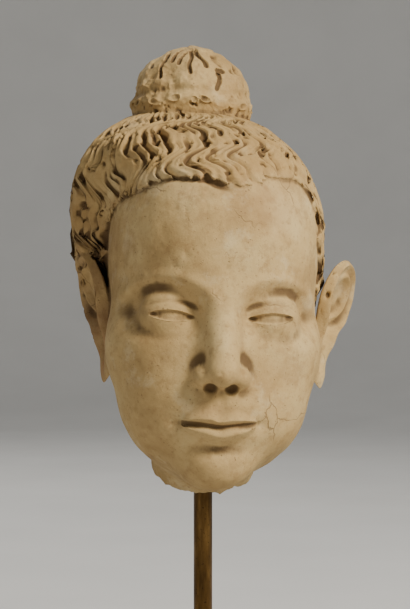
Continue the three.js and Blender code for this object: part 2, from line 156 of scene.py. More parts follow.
def blend_colour(material, factor, under, over, kind="MIX"):
    made = add(material, "Mix", {}, data_type="RGBA", blend_type=kind)
    for index, value in ((0, factor), (6, under), (7, over)):
        if isinstance(value, bpy.types.NodeSocket):
            material.node_tree.links.new(value, made.inputs[index])
        else:
            made.inputs[index].default_value = value if index == 0 else (*value, 1)
    return made.outputs[2]


def calculate(material, operation, first, second=0.0):
    made = add(material, "Math", {0: first, 1: second}, operation=operation)
    return made.outputs[0]


stained_wood = new_finish("stained_wood")
shader = stained_wood.node_tree.nodes["Principled BSDF"]
where = add(stained_wood, "TexCoord", {}).outputs["Object"]
board = add(stained_wood, "Mapping", {"Vector": where, "Location": (0, 0.31, 0.12), "Scale": (0.5, 6, 6)}).outputs[0]
rings = add(
    stained_wood,
    "TexWave",
    {"Vector": board, "Scale": 9, "Distortion": 2.4, "Detail": 3, "Detail Scale": 1.3},
    wave_type="RINGS",
    rings_direction="X",
).outputs["Fac"]
along_grain = add(stained_wood, "Mapping", {"Vector": where, "Scale": (14, 420, 420)}).outputs[0]
pores = add(stained_wood, "TexNoise", {"Vector": along_grain, "Scale": 1.6, "Detail": 4}).outputs["Fac"]
handling = add(stained_wood, "TexNoise", {"Vector": where, "Scale": 26, "Detail": 4}).outputs["Fac"]
ring_tone = tones(stained_wood, rings, (0.15, (0.018, 0.0105, 0.007)), (0.85, (0.044, 0.025, 0.015)))
pore_tone = blend_colour(stained_wood, share(stained_wood, pores, 0.5, 0.68), ring_tone, (0.008, 0.005, 0.004))
stained_wood.node_tree.links.new(pore_tone, shader.inputs["Base Color"])
stained_wood.node_tree.links.new(share(stained_wood, handling, 0.3, 0.7, 0.3, 0.5), shader.inputs["Roughness"])
pore_depth = add(
    stained_wood, "Bump", {"Height": pores, "Strength": 0.25, "Distance": 0.0004}
).outputs["Normal"]
stained_wood.node_tree.links.new(pore_depth, shader.inputs["Normal"])
shader.inputs["Coat Weight"].default_value = 0.25
shader.inputs["Coat Roughness"].default_value = 0.22

block.data.materials.clear()
block.data.materials.append(stained_wood)
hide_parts("block")
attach(block, "root")

# Rod.
# A drawn brass bar, patinated brown. It is sawn to length, its ends are filed round, and it is pushed into both
# blind holes.
FILED_END = 0.0008

bm = bmesh.new()
rod_radius = (rod_high.x - rod_low.x) / 2
bmesh.ops.create_cone(
    bm,
    cap_ends=True,
    segments=96,
    radius1=rod_radius,
    radius2=rod_radius,
    depth=rod_high.z - rod_low.z,
    matrix=Matrix.Translation((rod_low + rod_high) / 2),
)
ends = [edge for edge in bm.edges if abs(edge.verts[0].co.z - edge.verts[1].co.z) < 1e-6]
bmesh.ops.bevel(bm, geom=ends, offset=FILED_END, segments=4, profile=0.5, affect="EDGES", material=-1)
for face in bm.faces:
    face.smooth = len(face.verts) == 4
rod = made_piece("drawn_rod", bm)

patinated_brass = new_finish("patinated_brass")
shader = patinated_brass.node_tree.nodes["Principled BSDF"]
where = add(patinated_brass, "TexCoord", {}).outputs["Object"]
drawn = add(patinated_brass, "Mapping", {"Vector": where, "Scale": (1, 1, 0.22)}).outputs[0]
patina = add(
    patinated_brass, "TexNoise", {"Vector": drawn, "Scale": 130, "Detail": 6, "Roughness": 0.6}
).outputs["Fac"]
specks = add(patinated_brass, "TexNoise", {"Vector": where, "Scale": 900, "Detail": 3}).outputs["Fac"]
brass_tone = tones(
    patinated_brass, patina, (0.3, (0.04, 0.022, 0.008)), (0.52, (0.11, 0.06, 0.019)), (0.75, (0.22, 0.13, 0.042))
)
spotted = blend_colour(patinated_brass, share(patinated_brass, specks, 0.6, 0.74), brass_tone, (0.03, 0.018, 0.009))
patinated_brass.node_tree.links.new(spotted, shader.inputs["Base Color"])
polish = share(patinated_brass, patina, 0.3, 0.75, 0.46, 0.27)
patinated_brass.node_tree.links.new(polish, shader.inputs["Roughness"])
draw_marks = add(patinated_brass, "Bump", {"Height": patina, "Strength": 0.12, "Distance": 0.0002}).outputs["Normal"]
patinated_brass.node_tree.links.new(draw_marks, shader.inputs["Normal"])
shader.inputs["Metallic"].default_value = 1.0

rod.data.materials.append(patinated_brass)
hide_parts("rod")
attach(rod, "root")

# Head.
# Lime stucco, modelled by hand while it was soft: a smooth face, locks cut with a narrow tool, a tied knot of hair
# and long ears. It broke off at the neck, and it is worn, pitted and stained. It is drilled from below for the rod.
HEAD_HEIGHT = 0.29
BREAK_LEVEL = -0.05
KNOT_TOP = 1.5
FACE_HEIGHT = HEAD_HEIGHT / (KNOT_TOP - BREAK_LEVEL)
BREAK_Z = 0.146
HEAD_ROLL = 2
BELOW_THE_BREAK = 0.055  # where the drill starts, under the lowest point of the break
MM = 0.001 / FACE_HEIGHT  # a millimetre in shares of the face's height, in which the head is carved
EYE = (0.16, -0.358, 0.56)
EYEBALL = 0.094
LID = 0.011
LID_EDGE = 0.01
EYE_HALF_WIDTH = 0.08
MOUTH_Z = 0.222
MOUTH_HALF_WIDTH = 0.128
NAPE = 0.37
HALVINGS = 14


def ramp(a, b, value):
    t = np.clip((value - a) / (b - a), 0, 1)
    return t * t * (3 - 2 * t)


def bump(value, width):
    return np.exp(-((value / width) ** 2))


def fuse(a, b, fillet):
    """Presses two forms together with a soft fillet between them."""
    return np.minimum(a, b) - np.maximum(fillet - np.abs(a - b), 0) ** 2 / (4 * fillet)


def scoop(a, b, fillet):
    return -fuse(-a, b, fillet)


def lump(x, y, z, a, b, c, power=2.0):
    """Distance to a rounded lump of half sizes a, b and c. A higher power gives it squarer shoulders."""
    level = (np.abs(x / a) ** power + np.abs(y / b) ** power + np.abs(z / c) ** power) ** (1 / power) + 1e-9
    return np.sqrt(x * x + y * y + z * z) * (1 - 1 / level)


def bar(x, y, z, top, foot):
    """Distance to a round bar between two points, each a y, a z and a radius."""
    dy = foot[0] - top[0]
    dz = foot[1] - top[1]
    t = np.clip(((y - top[0]) * dy + (z - top[1]) * dz) / (dy * dy + dz * dz), 0, 1)
    radius = top[2] + t * (foot[2] - top[2])
    return np.sqrt(x * x + (y - top[0] - t * dy) ** 2 + (z - top[1] - t * dz) ** 2) - radius


def bare_head(x, y, z):
    """Skull, full cheeks, muzzle, chin, jaw and the stump of the neck."""
    side = np.abs(x)
    d = lump(x, y - 0.03, z - 0.8, 0.37, 0.535, 0.43, 2.2)
    d = fuse(d, lump(x, y + 0.13, z - 0.415, 0.33, 0.365, 0.42), 0.12)
    d = fuse(d, lump(side - 0.19, y + 0.2, z - 0.46, 0.16, 0.21, 0.15), 0.1)
    d = fuse(d, lump(side - 0.135, y + 0.26, z - 0.26, 0.15, 0.17, 0.15), 0.1)
    d = fuse(d, lump(x, y + 0.372, z - 0.25, 0.155, 0.135, 0.13), 0.1)
    d = fuse(d, lump(x, y + 0.36, z - 0.085, 0.11, 0.11, 0.088), 0.1)
    return fuse(d, bar(x, y, z, (0.04, 0.3, 0.185), (0.1, -0.4, 0.185)), 0.07)


def lid_levels(x, z):
    """How far a point lies above the upper lid's edge and below the lower one's, and its place across the eye."""
    across = (np.abs(x) - EYE[0]) / EYE_HALF_WIDTH
    taper = np.maximum(0, 1 - across**2)
    rise = z - EYE[2]
    return rise - 0.02 * taper**0.8 - 0.004 * across, -rise - 0.016 * taper + 0.004 * across, across


def lip_parting(x):
    """The level where the lips part, and the place along them from 0 in the middle to 1 at the corners."""
    s = np.abs(x) / MOUTH_HALF_WIDTH
    return MOUTH_Z + 0.003 * s * s - 0.006 * bump(s, 0.25), s


def with_eyes(d, x, y, z):
    """Arched brows, and balls under heavy lids in the hollows below them."""
    side = np.abs(x)
    under_brow = 0.155 * (1 - np.hypot((side - 0.178) / 0.172, (z - 0.52) / 0.155))
    d = d + 0.032 * ramp(-0.014, 0.075, under_brow) * ramp(0.46, 0.58, z)
    d = d + 0.014 * bump(side - 0.082, 0.03) * bump(z - 0.575, 0.04)
    d = d - 0.007 * bump(under_brow + 0.012, 0.018) * ramp(0.57, 0.64, z) * ramp(0.37, 0.3, side)
    ball = np.sqrt((side - EYE[0]) ** 2 + (y - EYE[1]) ** 2 + (z - EYE[2]) ** 2) - EYEBALL
    d = fuse(d, ball - LID, 0.02)
    above, below, across = lid_levels(x, z)
    d = d + LID * ramp(0, LID_EDGE, -np.maximum(above, below))
    return d + 0.006 * bump(above - 0.03, 0.007) * ramp(1.25, 0.85, np.abs(across))


def with_nose(d, x, y, z):
    """A straight ridge, two wings and two nostrils."""
    side = np.abs(x)
    d = fuse(d, bar(x, y, z, (-0.433, 0.64, 0.045), (-0.556, 0.395, 0.052)), 0.075)
    d = fuse(d, lump(side - 0.06, y + 0.5, z - 0.372, 0.036, 0.056, 0.038), 0.024)
    return scoop(d, lump(side - 0.034, y + 0.53, z - 0.334, 0.019, 0.032, 0.016), 0.01)


def with_mouth(d, x, z):
    """Full, closed lips that swell from the line where they part."""
    parting, s = lip_parting(x)
    taper = np.maximum(0, 1 - s * s)
    upper = (z - parting) / (0.058 * taper**0.6 * (1 - 0.2 * bump(s, 0.17)) + 1e-6)
    lower = (parting - z) / (0.07 * taper**0.6 + 1e-6)
    upper_lip = 0.027 * taper**0.7 * ramp(1.15, 0.25, upper) * (0.6 + 0.4 * ramp(0, 0.4, upper))
    lower_lip = 0.028 * taper**0.7 * ramp(1.05, 0.35, lower) * (0.58 + 0.42 * ramp(0, 0.5, lower))
    out = np.where(upper > 0, upper_lip, lower_lip)
    out = out - 0.012 * bump(z - parting, 0.0075) * ramp(1.12, 0.9, s)
    out = out - 0.011 * bump(np.abs(x) - 0.14, 0.022) * bump(z - 0.222, 0.024)
    out = out - 0.012 * bump(z - 0.142, 0.026) * bump(x, 0.09)
    return d - out + 0.006 * bump(x, 0.018) * ramp(0.262, 0.285, z) * ramp(0.345, 0.32, z)


def hair_edge_level(x, y):
    """The hairline peaks over the forehead and drops in front of the ears, further back on the -X side."""
    degrees = np.degrees(np.arctan2(x, -y))
    turn = np.where(degrees < 0, np.abs(degrees + 14), degrees + 2)
    level = 1.02 - 0.042 * bump(degrees - 2, 9) - 0.5 * ramp(44, 86, turn) - 0.4 * ramp(88, 108, turn)
    return np.maximum(level, NAPE)


def whole_head(x, y, z):
    """The head without hair or ears, grooved under the hair's edge and broken off at the neck."""
    d = bare_head(x, y, z)
    front = y <= -0.1
    fx, fy, fz = x[front], y[front], z[front]
    d[front] = with_mouth(with_nose(with_eyes(d[front], fx, fy, fz), fx, fy, fz), fx, fz)
    rough = np.sin(17 * x + 5 * y) + np.sin(23 * y - 9 * x + 1) + 0.6 * np.sin(41 * x + 37 * y)
    rough = rough + 0.5 * np.sin(83 * x - 61 * y) + 0.35 * np.sin(131 * x + 97 * y + 2)
    under_hair = bump(z - hair_edge_level(x, y) + 0.01, 0.011) * ramp(0.06, -0.06, x) * ramp(-0.3, -0.4, y)
    d = d + 0.012 * under_hair
    level = BREAK_LEVEL + 0.014 + 0.22 * ramp(-0.15, 0.4, y) + 0.0055 * rough
    return scoop(d, z - level, 0.02)


def way_out(form, start, along, reach, steps):
    """How far along each line its last point inside the form is."""
    step = reach / steps
    inside = np.full(len(along), reach - step)
    outside_yet = np.arange(len(along))
    for _ in range(steps - 2):
        points = start[outside_yet] + along[outside_yet] * inside[outside_yet, None]
        outside_yet = outside_yet[form(*points.T) > 0]
        inside[outside_yet] -= step
        if not len(outside_yet):
            break
    outside = inside + step
    for _ in range(HALVINGS):
        middle = (inside + outside) / 2
        out = form(*(start + along * middle[:, None]).T) > 0
        outside = np.where(out, middle, outside)
        inside = np.where(out, inside, middle)
    return inside


def positions(bm):
    return np.array([v.co for v in bm.verts])


def move_to(bm, points):
    for v, point in zip(bm.verts, points.tolist()):
        v.co = point


def head_points(ball):
    """Draws the points of a ball out to the head's surface, closer together on the face than on the skull."""
    along = ball / np.linalg.norm(ball, axis=1)[:, None] - (0, 0.5, 0.12)
    along /= np.linalg.norm(along, axis=1)[:, None]
    start = np.zeros_like(along)
    start[:, 1] = 0.03
    start[:, 2] = 0.7 + 0.28 * np.maximum(along[:, 2], 0) + 0.42 * np.minimum(along[:, 2], 0)
    return start + along * way_out(whole_head, start, along, 1.15, 48)[:, None]


bm = bmesh.new()
bmesh.ops.create_icosphere(bm, subdivisions=6, radius=1.0)
for fine in (0, 1, 2):
    rough_points = head_points(positions(bm))
    x, y, z = rough_points.T
    if fine == 0:
        wanted = (y < -0.12) & (z < 1.06)
    elif fine == 1:
        eye = np.hypot((np.abs(x) - 0.165) / 0.115, (z - 0.58) / 0.075) < 1
        nose = np.hypot(x / 0.11, (z - 0.365) / 0.06) < 1
        lips = np.hypot(x / 0.155, (z - 0.222) / 0.08) < 1
        wanted = (y < -0.3) & (eye | nose | lips)
    else:
        above, below, across = lid_levels(x, z)
        lid_line = (np.abs(np.maximum(above, below) + 0.0035) < 0.009) & (np.abs(across) < 1.1)
        parting, s = lip_parting(x)
        lip_line = (np.abs(z - parting) < 0.022) & (s < 1.1)
        wanted = (y < -0.3) & (lid_line | lip_line)
    bm.verts.ensure_lookup_table()
    bm.verts.index_update()
    edges = [edge for edge in bm.edges if wanted[edge.verts[0].index] and wanted[edge.verts[1].index]]
    bmesh.ops.subdivide_edges(bm, edges=edges, cuts=1, use_grid_fill=True)
    bmesh.ops.triangulate(bm, faces=bm.faces[:])
move_to(bm, head_points(positions(bm)))
bmesh.ops.recalc_face_normals(bm, faces=bm.faces)
head = made_piece("stucco_head", bm)

# The hair is a thick cap cut into wavy locks. They run down from the knot on all sides.
CAP_MIDDLE = (-0.042, 0.04, 0.81)
CAP_SIZE = (0.437, 0.562, 0.455)
KNOT_MIDDLE = np.array([-0.085, 0.06, 1.3])
KNOT_SIZE = np.array([0.215, 0.227, 0.2])
ROOTS_Z = 0.62
ROOTS_DOWN = 0.26
DEGREE_ARC = 0.0079  # how far round the head a degree is
LOCKS = 44
SPACING = 2 * np.pi / LOCKS
SWAY = 0.44
WAVE = 0.26
LINES_A_LOCK = 11
LOCK_ROWS = 84
EDGE_ROLL = 0.13  # the stretch over which the hair curves in to its edge
EDGE_STEP = 0.024
TURNED_UNDER = 0.22
CAP_REACH = 1.2


def cap(x, y, z):
    """The hair's mass, fuller above the temple on the -X side."""
    d = lump(x - CAP_MIDDLE[0], y - CAP_MIDDLE[1], z - CAP_MIDDLE[2], *CAP_SIZE, 2.2)
    return fuse(d, lump(x + 0.205, y - 0.02, z - 0.975, 0.28, 0.4, 0.27), 0.08)


def lock_turn(place, down):
    """Where a lock stands, counted in locks, becomes a turn about the knot that sways as it runs down."""
    turn = place * SPACING
    for _ in range(12):
        drift = 1.1 * np.sin(2 * turn + 0.6) + 0.3 * np.sin(3 * turn + 2 * down) + 0.7 * np.sin(5 * down - turn)
        waves = down / (WAVE * (1.2 - 0.2 * np.cos(turn)))
        turn = (turn + SPACING * (place - SWAY * np.sin(2 * np.pi * waves + drift))) / 2
    return turn + SPACING * 0.2 * np.sin(44 * down + 4 * turn) * ramp(0.3, 0.5, down)


def hair_line(turn, down):
    """A line out of the middle of the hair, at this turn about the knot and this angle down from it."""
    start = np.tile([KNOT_MIDDLE[0], KNOT_MIDDLE[1], ROOTS_Z], (len(turn), 1))
    return start, np.stack([np.sin(turn) * np.sin(down), -np.cos(turn) * np.sin(down), np.cos(down)], 1)


def edge_distance(points):
    """How far a point of the cap is from the hairline, measured across it."""
    x, y, z = points.T
    degrees = np.degrees(np.arctan2(x, -y))
    angles = [np.radians(degrees + change) for change in (-1, 0, 1)]
    before, here, after = [hair_edge_level(np.sin(angle), -np.cos(angle)) for angle in angles]
    return (z - here) / np.hypot(1, (after - before) / (2 * DEGREE_ARC))


def lock_end(place):
    """The angle down at which a lock ends: at the hairline, a little higher in the grooves."""
    off = place - np.round(place)
    notched = 0.016 * bump(off, 0.16) + 0.008 * bump(np.abs(off) - 0.5, 0.12)
    notched = notched + 0.006 * np.sin(2.3 * np.floor(place))
    above = np.full(len(place), ROOTS_DOWN)
    below = np.full(len(place), 2.6)
    for _ in range(13):
        down = (above + below) / 2
        start, along = hair_line(place * SPACING, down)
        x, y, z = (start + along * way_out(cap, start, along, CAP_REACH, 1)[:, None]).T
        over = z > hair_edge_level(x, y) + notched * (1 - 0.8 * ramp(0.05, 0.2, x) * ramp(0.2, -0.1, y))
        above = np.where(over, down, above)
        below = np.where(over, below, down)
    return above


def lock_relief(place, down, x, y, z):
    """How deep the tool went: the groove between two locks, and finer strokes on the lock itself."""
    groove = np.round(place)
    off = place - groove
    left = ramp(0.05, -0.25, x) * ramp(0.3, -0.05, y)
    temple = ramp(-0.24, -0.38, x) * ramp(0.25, -0.1, y)
    behind = ramp(0.1, 0.35, y)
    wear = 0.72 + 0.5 * left + 0.2 * np.sin(9 * x + 4) * np.sin(11 * z - 3 * y) + 0.2 * behind
    kept = np.where(groove % 2 == 1, 0.45 + 0.55 * ramp(0.45, 0.65, down) * (1 - behind), 1)
    broken = 0.75 + 0.5 * np.sin(12 * down + 2.4 * groove) + 0.35 * np.sin(31 * down + 1.7 * groove)
    cut = 0.02 * wear * kept * np.clip(broken, 0.06, 1.1) * bump(off, 0.1 + 0.05 * temple)
    lock = np.floor(place)
    beside = np.abs(off) - 0.5 + 0.06 * np.sin(19 * down + 2 * lock)
    stroked = ramp(-0.25, 0.45, np.sin(14 * down + 2.9 * lock) + 0.3 * left) * (1 - 0.7 * behind)
    stroke = 0.013 * (0.7 + 0.5 * left) * bump(beside, 0.07) * stroked
    rounded = 0.0015 * (0.5 + 0.5 * np.cos(4 * np.pi * off))
    layered = 0.006 * off * np.sin(9 * down + 1.3 * groove)
    drilled = 0.018 * temple * bump(off, 0.22) * ramp(0.4, 0.95, np.sin(30 * down + 2.2 * groove))
    return (cut + stroke + rounded + layered + drilled) * ramp(0.28, 0.46, down)


bm = bmesh.new()
columns = LOCKS * LINES_A_LOCK
rings = LOCK_ROWS + 3
bmesh.ops.create_uvsphere(bm, u_segments=columns, v_segments=rings, radius=1.0)
ball = positions(bm)
ring = np.round(np.arccos(np.clip(ball[:, 2], -1, 1)) / np.pi * rings).astype(int)
column = np.round(np.arctan2(ball[:, 1], ball[:, 0]) / (2 * np.pi) * columns).astype(int) % columns
spread = (column % LINES_A_LOCK) / LINES_A_LOCK
place = column // LINES_A_LOCK + spread - 0.024 * np.sin(2 * np.pi * spread) - 0.036 * np.sin(4 * np.pi * spread)
line_places, which = np.unique(place, return_inverse=True)
end = lock_end(line_places)[which]
row = np.clip(ring - 1, 0, LOCK_ROWS) / LOCK_ROWS
down = ROOTS_DOWN + (end - ROOTS_DOWN) * row
start, along = hair_line(lock_turn(place, down), down)
cap_reach = way_out(cap, start, along, CAP_REACH, 1)
skin_reach = way_out(bare_head, start, along, CAP_REACH, 1)
from_edge = edge_distance(start + along * cap_reach[:, None])
soft_side = ramp(0.1, 0.35, along[:, 0]) * ramp(0.2, -0.1, along[:, 1])
edge_step = EDGE_STEP - 0.008 * soft_side
hair_reach = cap_reach + ramp(EDGE_ROLL, 0, from_edge) * np.minimum(0, skin_reach + edge_step - cap_reach)
x, y, z = (start + along * hair_reach[:, None]).T
uneven = 0.004 * np.sin(13 * x + 7 * z) * np.sin(11 * y + 5 * z + 1)
tip = 0.006 * ramp(end - 0.04, end, down) ** 2
relief = lock_relief(place, down, x, y, z) * (1 - 0.75 * soft_side * ramp(0.07, 0.0, from_edge))
hair_reach = hair_reach - relief - tip - uneven - 0.001
behind_ear = ramp(1.15, 0.75, np.hypot((y - 0.01) / 0.1, (z - 0.63) / 0.13)) * (x < 0)
hair_reach = hair_reach - behind_ear * np.maximum(0, hair_reach - skin_reach + 0.006)
points = start + along * hair_reach[:, None]
head_middle = np.array([0, 0.03, CAP_MIDDLE[2]])
under = ring > LOCK_ROWS + 1
points[under] += TURNED_UNDER * (head_middle - points[under])
points[ring == 0] = KNOT_MIDDLE
points[ring == rings] = head_middle
move_to(bm, points)
bmesh.ops.recalc_face_normals(bm, faces=bm.faces)
hair = made_piece("hair", bm)

# The knot is a dome over a ring of small loops. Short strokes are cut into its top, and it is gouged on one side.
KNOT_LOOPS = 30
STROKE_SPACING = math.radians(18)

bm = bmesh.new()
bmesh.ops.create_icosphere(bm, subdivisions=6, radius=1.0)
in_front = [edge for edge in bm.edges if all(v.co.y < 0.1 and v.co.z > -0.25 for v in edge.verts)]
bmesh.ops.subdivide_edges(bm, edges=in_front, cuts=1, use_grid_fill=True)
bmesh.ops.triangulate(bm, faces=bm.faces[:])
ball = positions(bm)
dx, dy, dz = (ball / np.linalg.norm(ball, axis=1)[:, None]).T
flat = np.maximum(np.hypot(dx, dy), 1e-6)
barrel = np.where(dz < 0, flat**0.35 / flat, 1)
x, y, z = KNOT_SIZE[0] * dx * barrel, KNOT_SIZE[1] * dy * barrel, KNOT_MIDDLE[2] + KNOT_SIZE[2] * dz
turn = np.arctan2(x, -y)
uneven = np.array([noise.fractal(Vector(p), 0.9, 2.2, 3) for p in (np.stack([x, y, z], 1) / 0.06).tolist()])
loop_place = turn * KNOT_LOOPS / (2 * np.pi) + 0.35 * np.sin(5 * turn) + 0.2 * np.sin(9 * turn + 1)
loop = np.round(loop_place)
loop_across = (loop_place - loop) * 2 * np.pi / KNOT_LOOPS * KNOT_SIZE[0] / 0.017
loop_up = (z - 1.286 - 0.007 * np.sin(2.7 * loop)) / 0.0125
loop_size = np.hypot(loop_across + 0.5 * loop_up * np.sin(1.4 * loop), loop_up)
loops = (0.6 + 0.4 * np.sin(1.9 * loop)) * (bump(loop_size - 1, 0.38) - 0.35 * bump(loop_size, 0.45))
ring = 0.006 * bump(z - 1.283, 0.028) + 0.0065 * loops
ring = ring - 0.006 * bump(z - 1.322 + 0.006 * np.sin(4 * turn), 0.012) * (0.8 + 0.4 * uneven)
stroke_place = turn / STROKE_SPACING + 0.6 * np.sin(3.1 * turn + 1)
nearest = np.round(stroke_place)
stroke_top = 1.472 + 0.014 * np.sin(2.3 * nearest)
stroke_foot = stroke_top - 0.06 - 0.03 * np.sin(1.9 * nearest + 1)
stroked = ramp(stroke_foot - 0.012, stroke_foot, z) * ramp(stroke_top + 0.01, stroke_top, z)
stroke_across = (stroke_place - nearest) * STROKE_SPACING * KNOT_SIZE[0] * flat
stroke_bend = 0.4 * (z - 1.44) * np.sin(1.3 * nearest) + 0.005 * np.sin(90 * z + 2 * nearest)
stroke = bump(stroke_across + stroke_bend, 0.0055) * stroked * (0.8 + 0.2 * np.sin(2.1 * nearest))
front = ramp(0.05, -0.1, y)
gash = bump(x - 0.081 - 0.005 * np.sin(70 * z) - 0.005 * uneven, 0.0045) * ramp(1.32, 1.332, z)
gash = gash * ramp(1.404, 1.396, z) * front
notch = bump(z - 1.4 - 0.004 * uneven, 0.0045) * ramp(0.074, 0.082, x) * ramp(0.108, 0.096, x) * front
gouged = ramp(-0.03, -0.13, x) * bump(z - 1.345, 0.045) * ramp(0.12, -0.05, y)
chipped = ramp(0.08, 0.16, x) * ramp(0.25, 0.7, uneven)
layers = 0.5 + 0.5 * np.sin(110 * z + 5 * uneven)
sunk = 0.016 * stroke + 0.014 * np.maximum(gash, notch) + gouged * np.clip(0.006 + 0.016 * uneven * layers, 0, 0.03)
sunk = sunk + 0.009 * chipped + 0.005 * (1 + uneven)
out = 1 + (ring - sunk) / KNOT_SIZE[0] - 0.02 * np.sin(5 * dx + 3 * dz) * np.sin(4 * dy + 1)
move_to(bm, np.stack([KNOT_MIDDLE[0] + out * x, KNOT_MIDDLE[1] + out * y, z - sunk * np.maximum(dz, 0)], 1))
bmesh.ops.recalc_face_normals(bm, faces=bm.faces)
knot = made_piece("knot", bm)


# Each ear is shaped flat and then set against the head: u runs back, v up and w outwards.
EAR_HEIGHT = 0.458
EAR_HALF_THICKNESS = 0.0375
EAR_RAKE = math.radians(-8)


def ear_outline(u, v):
    """How far a point is outside the ear: a round upper part over a long lobe that is cut off square."""
    upper = lump(u, v - 0.21, 0, 0.25, 0.29, 1)
    lobe = bar(0, u, v, (-0.05, 0.1, 0.13), (-0.045, -0.42, 0.105))
    return scoop(fuse(upper, lobe, 0.1), v + 0.49 + 0.25 * u, 0.02)


def ear_relief(u, v):
    """A rolled rim, a fold inside it, and the hollow."""
    inset = -ear_outline(u, v)
    rim = bump(inset - 0.035, 0.04) * ramp(-0.32, -0.05, v + 0.3 * u) * ramp(-0.5, -0.1, u + 0.9 * v)
    fold = bump(inset - 0.135, 0.03) * ramp(-0.1, 0.03, u) * ramp(-0.14, 0.02, v)
    shell = bump(np.hypot((u + 0.03) / 0.1, (v - 0.1) / 0.17), 0.95)
    slit = bump(np.hypot((u + 0.045) / 0.03, (v + 0.27) / 0.12), 0.95)
    return 0.085 * rim + 0.045 * fold - 0.075 * shell - 0.035 * slit


def ear_mesh(name, side, x, y, z, flare, lean):
    bm = bmesh.new()
    bmesh.ops.create_icosphere(bm, subdivisions=5, radius=1.0)
    bmesh.ops.subdivide_edges(
        bm, edges=[e for e in bm.edges if all(v.co.z > -0.02 for v in e.verts)], cuts=1, use_grid_fill=True
    )
    bmesh.ops.triangulate(bm, faces=bm.faces[:])
    ball = positions(bm)
    a, b, c = (ball / np.linalg.norm(ball, axis=1)[:, None]).T
    flat = np.hypot(a, b)
    start = 0.28 * b / np.maximum(flat, 1e-6)
    inside = np.zeros(len(a))
    outside = np.full(len(a), 0.6)
    for _ in range(HALVINGS):
        length = (inside + outside) / 2
        divided = length / np.maximum(flat, 1e-6)
        out = ear_outline(-0.02 + divided * a, start + divided * b) > 0
        outside = np.where(out, length, outside)
        inside = np.where(out, inside, length)
    u = -0.02 + inside * a
    v = start * flat + inside * b
    edge = np.sqrt(np.maximum(0, 1 - flat**6))
    bend = 0.3 * np.maximum(0, v + 0.12) ** 1.4
    level = np.where(c > 0, EAR_HALF_THICKNESS + ear_relief(u, v) * edge, -EAR_HALF_THICKNESS)
    move_to(bm, np.stack([u, v, bend + level * edge], 1))
    basis = Matrix(((0, 0, 1, 0), (1, 0, 0, 0), (0, 1, 0, 0), (0, 0, 0, 1)))
    against = (
        Matrix.Scale(side, 4, (1, 0, 0))
        @ Matrix.Translation((x, y, z))
        @ Matrix.Rotation(math.radians(lean), 4, "Y")
        @ Matrix.Rotation(EAR_RAKE, 4, "X")
        @ Matrix.Rotation(math.radians(-flare), 4, "Z")
        @ basis
        @ Matrix.Scale(EAR_HEIGHT, 4)
    )
    bmesh.ops.transform(bm, matrix=against, verts=bm.verts)
    bmesh.ops.recalc_face_normals(bm, faces=bm.faces)
    return made_piece(name, bm)


worked(head, hair, "UNION")
worked(head, knot, "UNION")
worked(head, ear_mesh("ear_on_its_left", 1, 0.4, 0.0, 0.548, 31, 4), "UNION")
worked(head, ear_mesh("ear_on_its_right", -1, 0.36, 0.02, 0.545, 14, 2), "UNION")

place_head = (
    Matrix.Translation((0, 0, BREAK_Z))
    @ Matrix.Rotation(math.radians(HEAD_ROLL), 4, "Y")
    @ Matrix.Scale(FACE_HEIGHT, 4)
    @ Matrix.Translation((0, 0, -BREAK_LEVEL))
)
head.data.transform(place_head)
worked(head, rod_socket(BREAK_Z - BELOW_THE_BREAK, rod_high.z + SOCKET_GAP), "DIFFERENCE")
head.data.transform(place_head.inverted())

# The stucco's own surface: hand-worked unevenness, small chips and pits, all sunk in from the modelled form.
bm = bmesh.new()
bm.from_mesh(head.data)
bmesh.ops.triangulate(bm, faces=bm.faces[:])
bm.normal_update()
points = positions(bm)
normals = np.array([v.normal for v in bm.verts])
x, y, z = points.T
in_hair = ramp(0.0, 0.03, z - hair_edge_level(x, y)) * ramp(-0.012, 0.0, -cap(x, y, z) + 0.03)


def mottle(size, octaves, seed):
    """Unevenness of about -1 to 1 all over the head, with lumps of the given size in millimetres."""
    shifted = points / (size * MM) + seed
    return np.array([noise.fractal(Vector(p), 0.9, 2.0, octaves) for p in shifted.tolist()])


worn = mottle(14, 2, 3.0)
broad = mottle(26, 2, 11.0)
sunk = 0.35 * MM * (1 + worn) + 0.5 * MM * (1 + broad)
chips = mottle(5.5, 3, 7.0)
by_the_eyes = bump(np.hypot((np.abs(x) - 0.16) / 0.12, (z - 0.57) / 0.07), 1) * ramp(-0.2, -0.3, y)
by_the_lips = bump(np.hypot(x / 0.16, (z - 0.22) / 0.08), 1) * ramp(-0.3, -0.4, y)
chipped = ramp(0.42, 0.95, chips + 0.2 * in_hair) * (1 - 0.9 * np.maximum(by_the_eyes, by_the_lips))
sunk = sunk + (0.6 + 1.6 * in_hair) * MM * chipped
in_break = ramp(0.02, -0.01, z - 0.22 * ramp(-0.15, 0.4, y)) * ramp(0.25, 0.1, np.hypot(x, 0.5 * y))
sunk = sunk + 1.2 * MM * in_break * np.clip(mottle(4, 3, 1.0), -0.6, 1)
sunk = sunk * (np.hypot(x + 0.04 * (z + 0.05), y) > 8 * MM)
points = points - normals * np.maximum(sunk, 0)[:, None]
move_to(bm, points)

# How hollow each spot is, for the painted shade and dirt that darken the hollows.
bm.verts.index_update()
ends = np.array([(edge.verts[0].index, edge.verts[1].index) for edge in bm.edges])
count = np.bincount(ends.ravel(), minlength=len(points))


def smoothed(values, rounds):
    for _ in range(rounds):
        total = np.zeros_like(values)
        for axis in range(values.shape[1]):
            total[:, axis] += np.bincount(ends[:, 0], values[ends[:, 1], axis], len(values))
            total[:, axis] += np.bincount(ends[:, 1], values[ends[:, 0], axis], len(values))
        values = 0.4 * values + 0.6 * total / np.maximum(count, 1)[:, None]
    return values


hollow = ((smoothed(points, 7) - points) * normals).sum(1) / MM
hollow = smoothed(hollow[:, None], 1)[:, 0]
deep = ((smoothed(points, 60) - points) * normals).sum(1) / MM

